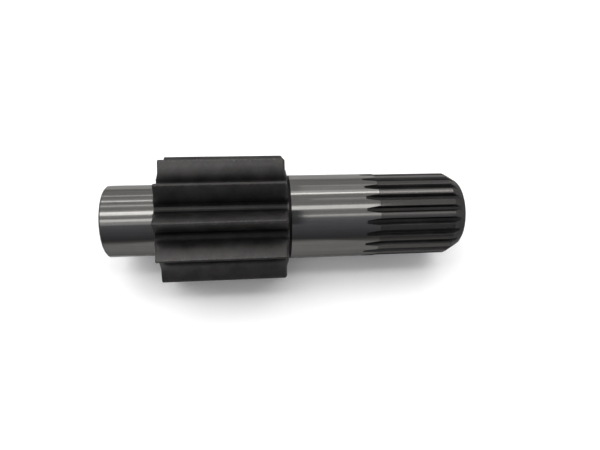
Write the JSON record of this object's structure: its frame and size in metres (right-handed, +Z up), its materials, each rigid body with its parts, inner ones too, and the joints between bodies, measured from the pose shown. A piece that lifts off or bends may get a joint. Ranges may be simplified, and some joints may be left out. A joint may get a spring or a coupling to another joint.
{
  "type": "pinion gear",
  "caption": "Spur pinion made in one piece with its shaft: ground bearing journals on both sides of the teeth and an involute spline with a tapered lead-in.",
  "frame": {"origin": "on the shaft's axis, midway along the gear teeth", "axes": "+X along the shaft towards the splined end, +Z up through the middle of one tooth"},
  "size_m": [0.2478, 0.0894, 0.0884],
  "materials": {
    "hardened_steel": "dark heat-treated steel with both bearing journals ground bright"
  },
  "bodies": {
    "root": {"pinion_shaft": "hardened_steel"}
  },
  "joints": []
}
